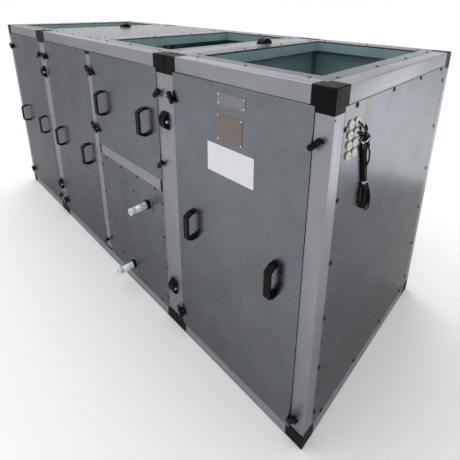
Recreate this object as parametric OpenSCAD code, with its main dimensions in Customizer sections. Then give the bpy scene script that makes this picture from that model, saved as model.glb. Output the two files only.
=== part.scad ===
// Air handling unit: three aluminium frame sections in a row, insulated sheet panels,
// lift-off access panels with bow handles, duct openings on top and two coil pipes.
// Millimetres, +Z up. The origin is on the floor at the middle of the casing.

/* [Casing] */
// Height of the casing
casing_h = 1200; // [1000:10:1500]
// Depth of the casing, front to back
casing_d = 935; // [750:5:1300]
// Width of the left section
section_a_w = 640; // [560:2:900]
// Width of the middle section
section_b_w = 1242; // [1160:2:1800]
// Width of the right section
section_c_w = 664; // [600:2:900]
// Height of the middle of the transom over the coil panel
transom_z = 670; // [560:5:760]

/* [Frame] */
// Side of the square frame profile
profile_w = 50; // [44:1:60]
// Wall of the hollow frame profile
profile_wall = 2.5; // [1.5:0.1:4]
// Radius of the outer edge of the corner profile
profile_r = 3; // [1:0.5:5]
// Thickness of the fin that a panel rests on
fin_t = 2.5; // [1.5:0.1:4]
// Visible arm of a corner piece past the profile square
corner_arm = 16; // [10:1:24]
// Length of the spigot that plugs into a profile
spigot_l = 36; // [20:1:60]
// Thickness of the crossed ribs of a spigot
spigot_rib = 6; // [3:0.5:10]
// Clearance between a spigot and the profile's chamber
spigot_clear = 0.3; // [0.1:0.1:1]

/* [Panels] */
// Gap between a panel's edge and the frame
panel_gap = 1.5; // [0.5:0.1:3]
// How far an access panel stands out of the frame
panel_proud = 3; // [0:0.5:8]
// Bevel along a panel's outer edges
panel_bevel = 1.5; // [0.5:0.1:3]
// Clearance between a panel and the fin behind it
seat_clear = 0.3; // [0.1:0.1:1]
// Width of the rim round a duct opening, from the frame to the hole
duct_rim_w = 47; // [30:1:80]

/* [Handles] */
// Height over the floor of the handles of the tall panels
tall_handle_z = 593; // [400:1:760]
// From an edge of a bay to the middle of the handle beside it
handle_in = 92; // [70:1:160]
// Height of a handle over its legs
handle_h = 116; // [90:1:160]
// How far a handle stands off the panel
handle_out = 36; // [32:1:60]
// Length of a handle's straight leg
handle_leg = 14; // [12:1:20]
// Height taken by one slanting shoulder
handle_shoulder = 12; // [8:1:18]
// Thickness of the handle's bar
handle_t = 8; // [5:0.5:10]
// Width of the handle's bar
handle_w = 25; // [14:1:32]

/* [Clamps] */
// From the top of a bay to its upper clamps
clamp_top_in = 90; // [80:1:110]
// From the bottom of a bay to its lower clamps
clamp_low_in = 64; // [60:1:76]
// From the bottom of the upper coil bay panel to its lower clamps
clamp_mid_in = 82; // [66:1:120]
// From the edge of a bay to the middle of a clamp on a post
clamp_set = 13; // [12:0.5:16]
// Width of a clamp's plate
clamp_w = 17; // [15:1:20]
// Thickness of a clamp's plate
clamp_t = 10; // [7:0.5:12]
// Reach of the plate over the panel's edge
finger_l = 18; // [12:1:22]
// Length of the plate behind its pivot
clamp_tail = 20; // [14:1:23]
// Slope of the plate down towards its panel, in degrees
finger_slope = 30; // [0:1:40]
// Height of the grip on a clamp's plate
grip_t = 12; // [8:1:15]
// How far the grip stays inside the plate's outline
grip_step = 1.5; // [1:0.5:3]

/* [Section joints] */
// Height over the floor of the lower joint ears
ear_low_z = 216; // [140:2:400]
// Height over the floor of the upper joint ears
ear_high_z = 962; // [800:2:1060]
// From the front of the casing to the joint ears on top
ear_top_y = 540; // [300:5:700]
// Length of a joint ear along the frame
ear_l = 70; // [50:1:90]
// How far a joint ear stands off the frame
ear_h = 24; // [16:1:30]
// Thickness of a joint ear
ear_t = 17; // [12:1:28]
// Gap between the two ears of a joint
ear_gap = 2; // [1:0.5:6]

/* [Coil pipes] */
// Outside diameter of a coil pipe
pipe_d = 32; // [22:1:42]
// Wall of a coil pipe
pipe_wall = 3; // [2:0.5:5]
// How far a pipe stands out of the coil panel
pipe_out = 84; // [60:1:140]
// How far a pipe reaches in behind the coil panel's face
pipe_in = 60; // [50:1:66]
// Depth of a pipe's bore from its open end
pipe_bore = 66; // [30:1:90]
// Length of the end land past the groove
pipe_land = 20; // [12:1:30]
// Width of the groove behind the end land
groove_w = 3; // [1:0.5:6]
// Depth of that groove
groove_deep = 1.2; // [0.5:0.1:2]
// Diameter of the bleed boss on the upper pipe
boss_d = 15; // [10:1:20]
// How far the bleed boss stands off the pipe
boss_out = 4; // [2:0.5:8]
// From the coil panel to the middle of the upper pipe's bleed boss
boss_at = 38; // [28:1:46]
// From the right edge of the coil bay to the upper pipe
pipe_upper_right = 127; // [70:1:240]
// From the transom down to the upper pipe
pipe_upper_down = 113; // [70:1:200]
// From the left edge of the coil bay to the lower pipe
pipe_lower_left = 249; // [70:1:300]
// From the bottom rail up to the lower pipe
pipe_lower_up = 68; // [60:1:160]
// Diameter of the rosette round a pipe
rosette_d = 84; // [60:1:110]
// Thickness of the rosette
rosette_t = 2; // [1:0.5:4]
// Wall of the rubber sleeve round a pipe
sleeve_wall = 2.5; // [2:0.5:4]
// How far the sleeve stands out of the rosette
sleeve_out = 10; // [4:1:20]
// Clearance between the sleeve and what it goes through
sleeve_clear = 0.3; // [0.1:0.1:1]

/* [Cable entry] */
// Diameter of a cable grommet
grommet_d = 24; // [16:1:26]
// Spacing of the grommets from front to back
grommet_pitch_y = 32; // [28:1:44]
// Spacing of the grommets in height
grommet_pitch_z = 28; // [27:1:44]
// From the front of the casing to the first grommets
grommet_y = 87; // [80:1:160]
// From the top of the casing down to the highest grommets
grommet_down = 105; // [90:1:300]
// How far a grommet stands out of the panel
grommet_out = 6; // [3:0.5:10]

/* [Hidden] */
$fn = 48;

aluminium = "#a3a6aa";
galvanised = "#6a6e71";
pale_galvanised = "#a9adb0";
black_nylon = "#232124";
bright_steel = "#cfd3d6";
cream_rubber = "#cfcdc6";

casing_l = section_a_w + section_b_w + section_c_w;
joint_1_x = section_a_w;
joint_2_x = section_a_w + section_b_w;
mullion_x = joint_1_x + section_b_w / 2;
corner_reach = profile_w + corner_arm;
fin_l = corner_arm - seat_clear;
panel_depth = profile_w - fin_t - seat_clear;
chamber_w = profile_w - 2 * profile_wall;
spigot_w = chamber_w - 2 * spigot_clear;

// Bays between the frame profiles, each as [low, high]
bay_a = [profile_w, joint_1_x - profile_w];
bay_b_left = [joint_1_x + profile_w, mullion_x - profile_w / 2];
bay_b_right = [mullion_x + profile_w / 2, joint_2_x - profile_w];
bay_c = [joint_2_x + profile_w, casing_l - profile_w];
bay_deep = [profile_w, casing_d - profile_w];
bay_tall = [profile_w, casing_h - profile_w];
bay_upper = [transom_z + profile_w / 2, casing_h - profile_w];
bay_lower = [profile_w, transom_z - profile_w / 2];

pipe_upper = [bay_b_right[1] - pipe_upper_right, bay_lower[1] - pipe_upper_down];
pipe_lower = [bay_b_right[0] + pipe_lower_left, bay_lower[0] + pipe_lower_up];
sleeve_d = pipe_d + 2 * sleeve_clear + 2 * sleeve_wall;
sleeve_flange_d = sleeve_d + 2 * sleeve_wall;
sleeve_hole_d = sleeve_d + 2 * sleeve_clear;

// Moves from the front left bottom corner of the casing to the part's origin
module in_casing() {
  translate([-casing_l / 2, -casing_d / 2, 0]) children();
}

// Repeats a front left bottom corner piece at chosen corners of a section
module at_corners(x, w, sides_x = [0, 1], sides_y = [0, 1], sides_z = [0, 1]) {
  for (i = sides_x, j = sides_y, k = sides_z)
    translate([x + i * w, j * casing_d, k * casing_h])
      mirror([i, 0, 0]) mirror([0, j, 0]) mirror([0, 0, k]) children();
}

// Extrudes a flat outline along X, its own X and Y becoming Y and Z
module along_x(length) {
  rotate([90, 0, 90]) linear_extrude(length) children();
}

// Extrudes a flat outline along Y, its own X and Y becoming X and Z
module along_y(length) {
  translate([0, length, 0]) rotate([90, 0, 0]) linear_extrude(length) children();
}

module chamber_outline() {
  translate([profile_wall, profile_wall]) square(chamber_w);
}

// Corner profile: hollow square with one rounded edge and two panel fins
module corner_outline() {
  difference() {
    union() {
      translate([profile_r, 0]) square([profile_w - profile_r, profile_w]);
      translate([0, profile_r]) square([profile_w, profile_w - profile_r]);
      translate([profile_r, profile_r]) circle(profile_r);
      translate([profile_w, profile_w - fin_t]) square([fin_l, fin_t]);
      translate([profile_w - fin_t, profile_w]) square([fin_t, fin_l]);
    }
    chamber_outline();
  }
}

// Mullion profile: hollow square with a panel fin on either side, outer face at Y = 0
module mullion_outline() {
  difference() {
    union() {
      square(profile_w);
      translate([-fin_l, profile_w - fin_t]) square([profile_w + 2 * fin_l, fin_t]);
    }
    chamber_outline();
  }
}

// Square with one bevelled corner, as the moulded corner pieces have
module bevelled_square() {
  polygon([[profile_r, 0], [profile_w, 0], [profile_w, profile_w], [0, profile_w], [0, profile_r]]);
}

// Crossed ribs that plug into a profile's chamber
module spigot_outline() {
  translate([profile_wall + spigot_clear, (profile_w - spigot_rib) / 2]) square([spigot_w, spigot_rib]);
  translate([(profile_w - spigot_rib) / 2, profile_wall + spigot_clear]) square([spigot_rib, spigot_w]);
}

// Moulded three-way corner piece with an arm and a spigot along each axis
module corner_piece() {
  intersection() {
    along_x(profile_w) bevelled_square();
    along_y(profile_w) bevelled_square();
    linear_extrude(profile_w) bevelled_square();
  }
  translate([profile_w, 0, 0]) along_x(corner_arm) bevelled_square();
  translate([0, profile_w, 0]) along_y(corner_arm) bevelled_square();
  translate([0, 0, profile_w]) linear_extrude(corner_arm) bevelled_square();
  translate([corner_reach, 0, 0]) along_x(spigot_l) spigot_outline();
  translate([0, corner_reach, 0]) along_y(spigot_l) spigot_outline();
  translate([0, 0, corner_reach]) linear_extrude(spigot_l) spigot_outline();
}

module section_posts(x, w) {
  color(aluminium) in_casing() at_corners(x, w, sides_z = [0])
    translate([0, 0, corner_reach]) linear_extrude(casing_h - 2 * corner_reach) corner_outline();
}

module section_long_rails(x, w) {
  color(aluminium) in_casing() at_corners(x, w, sides_x = [0])
    translate([corner_reach, 0, 0]) along_x(w - 2 * corner_reach) corner_outline();
}

module section_cross_rails(x, w) {
  color(aluminium) in_casing() at_corners(x, w, sides_y = [0])
    translate([0, corner_reach, 0]) along_y(casing_d - 2 * corner_reach) corner_outline();
}

module section_corners(x, w) {
  color(black_nylon) in_casing() at_corners(x, w) corner_piece();
}

// Draws a mullion part at the front or back (posts) and at the bottom or top (cross rails)
module at_mullion() {
  translate([mullion_x - profile_w / 2, 0, 0]) children();
}

module mullion_posts() {
  color(aluminium) in_casing() at_mullion()
    for (j = [0, 1]) translate([0, j * casing_d, corner_reach]) mirror([0, j, 0])
      linear_extrude(casing_h - 2 * corner_reach) mullion_outline();
}

module mullion_cross_rails() {
  color(aluminium) in_casing() at_mullion()
    for (k = [0, 1]) translate([0, corner_reach, k * casing_h]) mirror([0, 0, k])
      along_y(casing_d - 2 * corner_reach) mullion_outline();
}

// The transom lies along X with its outer face to the front
module transom() {
  color(aluminium) in_casing() translate([bay_b_right[0] + corner_arm, 0, bay_lower[1]])
    along_x(bay_b_right[1] - bay_b_right[0] - 2 * corner_arm) mirror([1, -1, 0]) mullion_outline();
}

// Cap between a frame rail and the end of a mullion, standing on Z = 0, outer face at Y = 0
module mullion_cap() {
  cube([profile_w, panel_depth, corner_arm]);
  translate([0, 0, corner_arm]) linear_extrude(spigot_l) spigot_outline();
}

module mullion_caps() {
  color(black_nylon) in_casing() {
    at_mullion() for (j = [0, 1], k = [0, 1])
      translate([0, j * casing_d, k * casing_h]) mirror([0, j, 0]) mirror([0, 0, k]) {
        translate([0, 0, profile_w]) mullion_cap();
        translate([0, profile_w, 0]) mirror([0, 1, -1]) mullion_cap();
      }
    for (i = [0, 1]) translate([bay_b_right[i], 0, bay_lower[1]]) mirror([i, 0, 0])
      mirror([1, 0, -1]) mullion_cap();
  }
}

// Slab with its outer face at Y = -proud and bevels along the four outer edges
module panel_slab(w, h, proud = 0) {
  depth = panel_depth + proud;
  translate([0, -proud, 0]) intersection() {
    linear_extrude(h)
      polygon([[panel_bevel, 0], [w - panel_bevel, 0], [w, panel_bevel],
               [w, depth], [0, depth], [0, panel_bevel]]);
    along_x(w)
      polygon([[0, panel_bevel], [0, h - panel_bevel], [panel_bevel, h],
               [depth, h], [depth, 0], [panel_bevel, 0]]);
  }
}

// Panel that fills a bay of the front
module front_panel(bay_x, bay_z, proud = 0) {
  translate([bay_x[0] + panel_gap, 0, bay_z[0] + panel_gap])
    panel_slab(bay_x[1] - bay_x[0] - 2 * panel_gap, bay_z[1] - bay_z[0] - 2 * panel_gap, proud);
}

// Panel that fills a bay of the top, outer face up
module top_panel(bay_x) {
  translate([0, 0, casing_h]) rotate([-90, 0, 0]) front_panel(bay_x, bay_deep);
}

// Panel that fills a bay between two posts of a section's end, outer face to the left
module side_panel() {
  mirror([1, -1, 0]) front_panel(bay_deep, bay_tall);
}

// End wall of a section at x: side 0 faces left, side 1 faces right
module end_panel(x, side) {
  color(pale_galvanised) in_casing() translate([x, 0, 0]) mirror([side, 0, 0]) side_panel();
}

module top_panel_b() {
  color(pale_galvanised) in_casing() top_panel(bay_b_left);
}

module access_panel(bay_x, bay_z) {
  color(galvanised) in_casing() front_panel(bay_x, bay_z, panel_proud);
}

module back_panel(bay_x) {
  color(galvanised) in_casing() translate([0, casing_d, 0]) mirror([0, 1, 0]) front_panel(bay_x, bay_tall);
}

module duct_panel(bay_x) {
  hole_low = [bay_x[0] + duct_rim_w, bay_deep[0] + duct_rim_w];
  hole_high = [bay_x[1] - duct_rim_w, bay_deep[1] - duct_rim_w];
  color(pale_galvanised) in_casing() difference() {
    top_panel(bay_x);
    translate([hole_low[0], hole_low[1], casing_h - profile_w])
      cube([hole_high[0] - hole_low[0], hole_high[1] - hole_low[1], 2 * profile_w]);
  }
}

module floor_panels() {
  color(galvanised) in_casing() for (bay = [bay_a, bay_b_left, bay_b_right, bay_c])
    mirror([0, 1, -1]) front_panel(bay, bay_deep);
}

// Moves to where a pipe leaves the coil panel, with +Z out of the panel and +Y up
module at_pipe(pipe) {
  translate([pipe[0], 0, pipe[1]]) rotate([90, 0, 0]) children();
}

module at_pipes() {
  for (pipe = [pipe_upper, pipe_lower]) at_pipe(pipe) children();
}

module coil_panel() {
  color(galvanised) in_casing() difference() {
    front_panel(bay_b_right, bay_lower);
    at_pipes() translate([0, 0, -profile_w]) cylinder(h = 2 * profile_w, d = sleeve_hole_d);
  }
}

module coil_pipes() {
  boss_foot = pipe_d / 2 - pipe_wall / 2;
  color(bright_steel) in_casing() {
    at_pipes() difference() {
      translate([0, 0, -pipe_in]) cylinder(h = pipe_in + pipe_out, d = pipe_d);
      translate([0, 0, pipe_out - pipe_bore]) cylinder(h = 2 * pipe_bore, d = pipe_d - 2 * pipe_wall);
      translate([0, 0, pipe_out - pipe_land - groove_w]) difference() {
        cylinder(h = groove_w, d = 2 * pipe_d);
        translate([0, 0, -1]) cylinder(h = groove_w + 2, d = pipe_d - 2 * groove_deep);
      }
    }
    at_pipe(pipe_upper) translate([0, 0, boss_at]) rotate([-90, 0, -45]) translate([0, 0, boss_foot])
      cylinder(h = pipe_d / 2 - boss_foot + boss_out, d = boss_d);
  }
}

module pipe_sleeves() {
  color(black_nylon) in_casing() at_pipes() difference() {
    union() {
      translate([0, 0, -panel_depth]) cylinder(h = panel_depth + rosette_t, d = sleeve_d);
      translate([0, 0, rosette_t]) cylinder(h = sleeve_out, d = sleeve_flange_d);
    }
    translate([0, 0, -profile_w]) cylinder(h = 2 * profile_w + sleeve_out, d = pipe_d + 2 * sleeve_clear);
  }
}

module pipe_rosettes() {
  color(bright_steel) in_casing() at_pipes() difference() {
    cylinder(h = rosette_t, d = rosette_d);
    translate([0, 0, -1]) cylinder(h = rosette_t + 2, d = sleeve_hole_d);
  }
}

// Side view of a bow handle: X is the distance off the panel, Y the height
module handle_outline() {
  half = handle_h / 2;
  slope = atan2(handle_shoulder, handle_out - handle_leg);
  leg_in = handle_leg - handle_t * tan(slope / 2);
  bar_in = half - handle_shoulder - handle_t * tan((90 - slope) / 2);
  outer = [[0, half], [handle_leg, half], [handle_out, half - handle_shoulder]];
  inner = [[-1, half - handle_t], [leg_in, half - handle_t], [handle_out - handle_t, bar_in]];
  difference() {
    polygon(concat(outer, [for (i = [2:-1:0]) [outer[i][0], -outer[i][1]]]));
    polygon(concat(inner, [for (i = [2:-1:0]) [inner[i][0], -inner[i][1]]]));
  }
}

module handle() {
  translate([-handle_w / 2, 0, 0]) mirror([0, 1, 0]) along_x(handle_w) handle_outline();
}

// The two handles of an access panel
module handles(bay_x, z) {
  color(black_nylon) in_casing()
    for (x = [bay_x[0] + handle_in, bay_x[1] - handle_in])
      translate([x, -panel_proud, z]) handle();
}

// Front view of a clamp's plate, sloping down to the right, between its ends low and high
module clamp_bar(low, high, width) {
  half = width / 2;
  cut = width / 4;
  rotate(-finger_slope)
    polygon([[low, -half + cut], [low + cut, -half], [high - cut, -half], [high, -half + cut],
             [high, half - cut], [high - cut, half], [low + cut, half], [low, half - cut]]);
}

// Panel clamp on the frame: its plate holds a panel that starts at X = edge, or one on both sides
module panel_clamp(edge, both_sides) {
  seat = panel_proud + seat_clear;
  reach = edge + finger_l;
  tail = both_sides ? reach : clamp_tail;
  rotate([90, 0, 0]) {
    cylinder(h = seat + clamp_t / 2, d = 0.8 * clamp_w, $fn = 24);
    translate([0, 0, seat]) linear_extrude(clamp_t) clamp_bar(-tail, reach, clamp_w);
    translate([0, 0, seat + clamp_t / 2]) linear_extrude(clamp_t / 2 + grip_t)
      clamp_bar(-min(tail, clamp_tail) + grip_step, clamp_tail, clamp_w - 2 * grip_step);
  }
}

// Clamps along one edge of a bay: side -1 is its left edge, 1 its right edge
module clamps_at(bay_x, side, heights) {
  x = bay_x[(side + 1) / 2] + side * clamp_set;
  for (z = heights) translate([x, 0, z])
    mirror([side > 0 ? 1 : 0, 0, 0]) panel_clamp(clamp_set, false);
}

module panel_clamps() {
  top_z = bay_tall[1] - clamp_top_in;
  low_z = bay_tall[0] + clamp_low_in;
  mid_z = bay_upper[0] + clamp_mid_in;
  color(black_nylon) in_casing() {
    for (bay = [bay_a, bay_c], side = [-1, 1]) clamps_at(bay, side, [low_z, top_z]);
    clamps_at(bay_b_left, -1, [low_z, top_z]);
    clamps_at(bay_b_right, 1, [mid_z, top_z]);
    for (z = [mid_z, top_z]) translate([mullion_x, 0, z]) panel_clamp(profile_w / 2, true);
    translate([mullion_x, 0, low_z]) mirror([1, 0, 0]) panel_clamp(profile_w / 2, false);
  }
}

// Arched ear on a face at Y = 0, standing out towards -Y, its chord along Z
module joint_ear() {
  arch_r = (ear_l * ear_l / 4 + ear_h * ear_h) / (2 * ear_h);
  along_x(ear_t) intersection() {
    translate([arch_r - ear_h, 0]) circle(arch_r, $fn = 96);
    translate([-ear_h, -ear_l / 2]) square([ear_h, ear_l]);
  }
}

module ear_pair() {
  for (i = [0, 1]) mirror([i, 0, 0]) translate([ear_gap / 2, 0, 0]) joint_ear();
}

module section_joint_ears() {
  color(black_nylon) in_casing() for (x = [joint_1_x, joint_2_x]) translate([x, 0, 0]) {
    for (z = [ear_low_z, ear_high_z]) {
      translate([0, 0, z]) ear_pair();
      translate([0, casing_d, z]) mirror([0, 1, 0]) ear_pair();
    }
    translate([0, ear_top_y, casing_h]) rotate([-90, 0, 0]) ear_pair();
  }
}

// Share of a grommet's radius that is thin membrane
membrane_share = 0.45;

// Membrane grommet: a bevelled disc with a sunk middle, its axis along +Z
module grommet() {
  lip = grommet_out / 2;
  rim = grommet_d / 2;
  membrane = membrane_share * rim;
  rotate_extrude() polygon([[0, 0], [rim, 0], [rim, lip], [rim - lip, grommet_out],
                            [membrane, grommet_out], [membrane, lip], [0, lip]]);
}

module cable_grommets() {
  color(cream_rubber) in_casing() for (j = [0, 1], k = [0:3])
    translate([casing_l, grommet_y + j * grommet_pitch_y, casing_h - grommet_down - k * grommet_pitch_z])
      rotate([0, 90, 0]) grommet();
}

// Cables: each leaves a grommet of the back column, joins the tied hank and ends in a connector
cable_d = 5;
cable_sides = 8;
hank_neck_w = 22;
hank_w = 36;
hank_t = 13;
hank_l = 272;
hank_neck_l = 168;
hank_tilt = 15;
// Middle of the hank's top and the middles of the connectors on it
hank_top = [8, 160, 1056];
connector_d = 10;
connector_l = 22;
// Points of the two cables, as distances out of the end panel, from the casing's front and over the floor
tail_routes = [
  [[3, 119, 1095], [9, 119, 1095], [14, 121, 1093], [17, 126, 1089],
   [18, 132, 1083], [17, 140, 1075], [14, 148, 1065], [11, 155, 1053.5]],
  [[3, 119, 1067], [8, 119, 1067], [12, 121, 1067], [14, 126, 1067],
   [14, 133, 1066.5], [12, 141, 1065], [8, 149, 1061], [5, 155, 1053.5]]
];

function unit(v) = v / norm(v);
function tangent(route, i) =
  unit(route[min(i + 1, len(route) - 1)] - route[max(i - 1, 0)]);
function ring(route, i) =
  let (t = tangent(route, i), a = unit(cross(t, [0.2, 0.3, 1])), b = cross(t, a))
  [for (s = [0:cable_sides - 1])
    route[i] + cable_d / 2 * (cos(360 * s / cable_sides) * a + sin(360 * s / cable_sides) * b)];

// Tube swept along the points of a route
module swept_cable(route) {
  n = len(route);
  points = [for (i = [0:n - 1]) each ring(route, i)];
  walls = [for (i = [0:n - 2], s = [0:cable_sides - 1])
    let (k = (s + 1) % cable_sides)
    [i * cable_sides + s, i * cable_sides + k, (i + 1) * cable_sides + k, (i + 1) * cable_sides + s]];
  ends = [[for (s = [cable_sides - 1:-1:0]) s], [for (s = [0:cable_sides - 1]) (n - 1) * cable_sides + s]];
  polyhedron(points, concat(walls, ends), convexity = 6);
}

module cable_tails() {
  color(black_nylon) in_casing() for (route = tail_routes) translate([casing_l, 0, 0]) swept_cable(route);
}

// Moves from the middle of the hank's top, with the hank hanging along -Z, to its place on the end panel
module at_hank() {
  in_casing() translate([casing_l, 0, 0] + hank_top) rotate([hank_tilt, 0, 0]) children();
}

module cable_hank() {
  bulge = hank_w / 2;
  color(black_nylon) at_hank() translate([-hank_t / 2, 0, 0]) along_x(hank_t) {
    translate([0, -bulge]) circle(bulge);
    translate([-hank_neck_w / 2, -hank_l + bulge]) square([hank_neck_w, hank_l - 2 * bulge]);
    translate([-bulge + 1, -hank_l + bulge]) square([hank_w - 2, hank_l - hank_neck_l - bulge]);
    translate([0, -hank_l + bulge]) circle(bulge);
  }
}

// Plug and its collar, its middle at the origin
module connector() {
  translate([0, 0, -connector_l / 2]) cylinder(h = connector_l, d = 0.7 * connector_d, $fn = 24);
  translate([0, 0, -connector_l / 2]) cylinder(h = 0.6 * connector_l, d = connector_d, $fn = 6);
}

module cable_connectors() {
  beside = (hank_neck_w + connector_d) / 2 + 0.3;
  below = hank_w + connector_l / 2;
  color(black_nylon) at_hank() {
    translate([0, 4, connector_l / 2]) connector();
    translate([0, beside, -below]) rotate([0, 0, 30]) connector();
  }
}

section_posts(0, section_a_w);  // section_a_posts
section_long_rails(0, section_a_w);  // section_a_long_rails
section_cross_rails(0, section_a_w);  // section_a_cross_rails
section_corners(0, section_a_w);  // section_a_corners
section_posts(joint_1_x, section_b_w);  // section_b_posts
section_long_rails(joint_1_x, section_b_w);  // section_b_long_rails
section_cross_rails(joint_1_x, section_b_w);  // section_b_cross_rails
section_corners(joint_1_x, section_b_w);  // section_b_corners
section_posts(joint_2_x, section_c_w);  // section_c_posts
section_long_rails(joint_2_x, section_c_w);  // section_c_long_rails
section_cross_rails(joint_2_x, section_c_w);  // section_c_cross_rails
section_corners(joint_2_x, section_c_w);  // section_c_corners
mullion_posts();
mullion_cross_rails();
transom();
mullion_caps();
access_panel(bay_a, bay_tall);  // access_panel_a
access_panel(bay_b_left, bay_tall);  // access_panel_b
access_panel(bay_b_right, bay_upper);  // access_panel_upper
access_panel(bay_c, bay_tall);  // access_panel_c
coil_panel();
back_panel(bay_a);  // back_panel_a
back_panel(bay_b_left);  // back_panel_b_left
back_panel(bay_b_right);  // back_panel_b_right
back_panel(bay_c);  // back_panel_c
end_panel(0, 0);  // end_panel_left
end_panel(casing_l, 1);  // end_panel_right
end_panel(joint_2_x, 0);  // inner_wall_c
top_panel_b();
duct_panel(bay_a);  // duct_panel_a
duct_panel(bay_b_right);  // duct_panel_b
duct_panel(bay_c);  // duct_panel_c
floor_panels();
handles(bay_a, tall_handle_z);  // handles_a
handles(bay_b_left, tall_handle_z);  // handles_b
handles(bay_b_right, (bay_upper[0] + bay_upper[1]) / 2);  // handles_upper
handles(bay_c, tall_handle_z);  // handles_c
panel_clamps();
section_joint_ears();
coil_pipes();
pipe_sleeves();
pipe_rosettes();
cable_grommets();
cable_tails();
cable_hank();
cable_connectors();
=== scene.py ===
"""Air handling unit: finishes, fasteners, plates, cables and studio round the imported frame."""

import math

import bmesh
import bpy
from bpy.props import FloatProperty, FloatVectorProperty, PointerProperty
from mathutils import Matrix, Vector


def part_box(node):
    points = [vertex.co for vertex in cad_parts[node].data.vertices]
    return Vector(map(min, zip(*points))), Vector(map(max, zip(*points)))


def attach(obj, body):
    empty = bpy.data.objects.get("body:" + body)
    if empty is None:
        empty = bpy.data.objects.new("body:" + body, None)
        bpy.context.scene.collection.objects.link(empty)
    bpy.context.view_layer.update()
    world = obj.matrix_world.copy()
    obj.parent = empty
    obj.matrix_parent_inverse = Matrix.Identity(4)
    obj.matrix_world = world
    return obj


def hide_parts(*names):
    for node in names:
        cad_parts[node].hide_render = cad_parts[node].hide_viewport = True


bl_info = {
    "name": "Air handling unit looks",
    "version": (1, 0, 0),
    "blender": (4, 5, 0),
    "location": "View3D > Sidebar > Air unit",
    "description": "Dresses the packed air handling unit and sets up its studio",
    "category": "Object",
}

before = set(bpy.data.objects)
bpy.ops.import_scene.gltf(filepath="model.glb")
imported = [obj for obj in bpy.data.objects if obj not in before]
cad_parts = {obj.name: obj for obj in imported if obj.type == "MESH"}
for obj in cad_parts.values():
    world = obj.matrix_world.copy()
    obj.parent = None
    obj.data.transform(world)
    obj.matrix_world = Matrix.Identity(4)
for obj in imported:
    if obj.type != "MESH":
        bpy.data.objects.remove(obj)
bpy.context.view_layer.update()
MM = 0.001
BODY = "root"

EXTRUSIONS = {
    "Z": ["section_a_posts", "section_b_posts", "section_c_posts", "mullion_posts"],
    "X": ["section_a_long_rails", "section_b_long_rails", "section_c_long_rails", "transom"],
    "Y": ["section_a_cross_rails", "section_b_cross_rails", "section_c_cross_rails", "mullion_cross_rails"],
}
CORNERS = ["section_a_corners", "section_b_corners", "section_c_corners", "mullion_caps"]
ACCESS_PANELS = ["access_panel_a", "access_panel_b", "access_panel_upper", "access_panel_c"]
BACK_PANELS = ["back_panel_a", "back_panel_b_left", "back_panel_b_right", "back_panel_c"]
END_PANELS = ["end_panel_left", "end_panel_right"]
TOP_PANELS = ["duct_panel_a", "top_panel_b", "duct_panel_b", "duct_panel_c"]
HANDLES = ["handles_a", "handles_b", "handles_upper", "handles_c"]

# The casing without what stands off it
CASING_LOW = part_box("section_a_corners")[0]
CASING_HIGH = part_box("section_c_corners")[1]
# Its length in millimetres
CASING_L = (CASING_HIGH.x - CASING_LOW.x) / MM


def in_casing(x, y, z):
    """A point given in millimetres from the casing's front left bottom corner."""
    return CASING_LOW + Vector((x, y, z)) * MM


def linear(hex_colour):
    """An sRGB hex value as linear RGBA."""
    channels = [int(hex_colour[i : i + 2], 16) / 255 for i in (1, 3, 5)]
    return (*[c / 12.92 if c <= 0.04045 else ((c + 0.055) / 1.055) ** 2.4 for c in channels], 1.0)


def colour(name, description, hex_colour):
    return FloatVectorProperty(
        name=name, description=description, default=linear(hex_colour),
        size=4, min=0, max=1, subtype="COLOR",
    )


def length(name, description, millimetres):
    return FloatProperty(
        name=name, description=description, default=millimetres * MM,
        min=0, unit="LENGTH", subtype="DISTANCE",
    )


class AirUnitColours(bpy.types.PropertyGroup):
    """Colours of the finishes"""

    outer_sheet: colour("Outer sheet", "Zinc of the panels' outer skins", "#72757a")
    inner_sheet: colour("Inner sheet", "Passivated zinc of the panels' inner skins", "#88a3a7")
    aluminium: colour("Aluminium", "Mill finish of the frame profiles", "#8f9197")
    nylon: colour("Nylon", "Black moulded pieces", "#0f0d0f")
    zinc: colour("Zinc plate", "Bolts and rivets", "#d8dcdf")
    pipe: colour("Pipes", "Bright zinc of the coil pipes", "#e0e4e7")
    rim: colour("Rosette rims", "Rolled rims of the rosettes", "#8d9194")
    screw: colour("Panel screws", "Blackened screws", "#171517")
    top_screw: colour("Top screws", "Dull screws on the top panels", "#4e5255")
    cream_rubber: colour("Cream rubber", "Cable grommets", "#cfccc4")
    black_rubber: colour("Black rubber", "Cables and pipe sleeves", "#121213")
    tie: colour("Cable tie", "Natural nylon of the ties", "#dfe3e4")
    plate: colour("Rating plate", "Bare metal plate", "#7b726d")
    name_plate: colour("Name plate", "Bare satin plate", "#808185")
    label: colour("Label", "Blank white label", "#dcdbe2")
    end_label: colour("End label", "Blank grey label on the end panel", "#a8a9ac")
    floor: colour("Floor", "Studio floor", "#f4f4f3")


class AirUnitSizes(bpy.types.PropertyGroup):
    """Sizes of the pieces that are added here"""

    edge_round: length("Edge radius", "Rounding of the moulded pieces' edges", 1.2)
    corner_round: length("Corner radius", "Rounding of the frame corners' edges", 0.8)
    profile_round: length("Profile radius", "Rounding of the extruded profiles' edges", 1.0)
    fold_round: length("Fold radius", "Rounding of the access panels' folded edges", 1.4)
    screw_d: length("Screw head", "Diameter of a screw's head on the end panels", 16)
    small_screw_d: length("Small screw head", "Diameter of a screw's head on the other panels", 11)
    screw_in: length("Screw inset", "From a panel's edge to the middle of its screws", 8.5)
    screw_margin: length("Screw margin", "From a panel's edge to the first screw along it", 60)
    cable_d: length("Cable", "Diameter of a cable", 5)
    cable_a_l: length("Upper cable", "Length of the cable from the upper grommet", 1150)
    cable_b_l: length("Lower cable", "Length of the cable from the lower grommet", 630)
    tie_w: length("Tie", "Width of a cable tie", 4)


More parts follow.
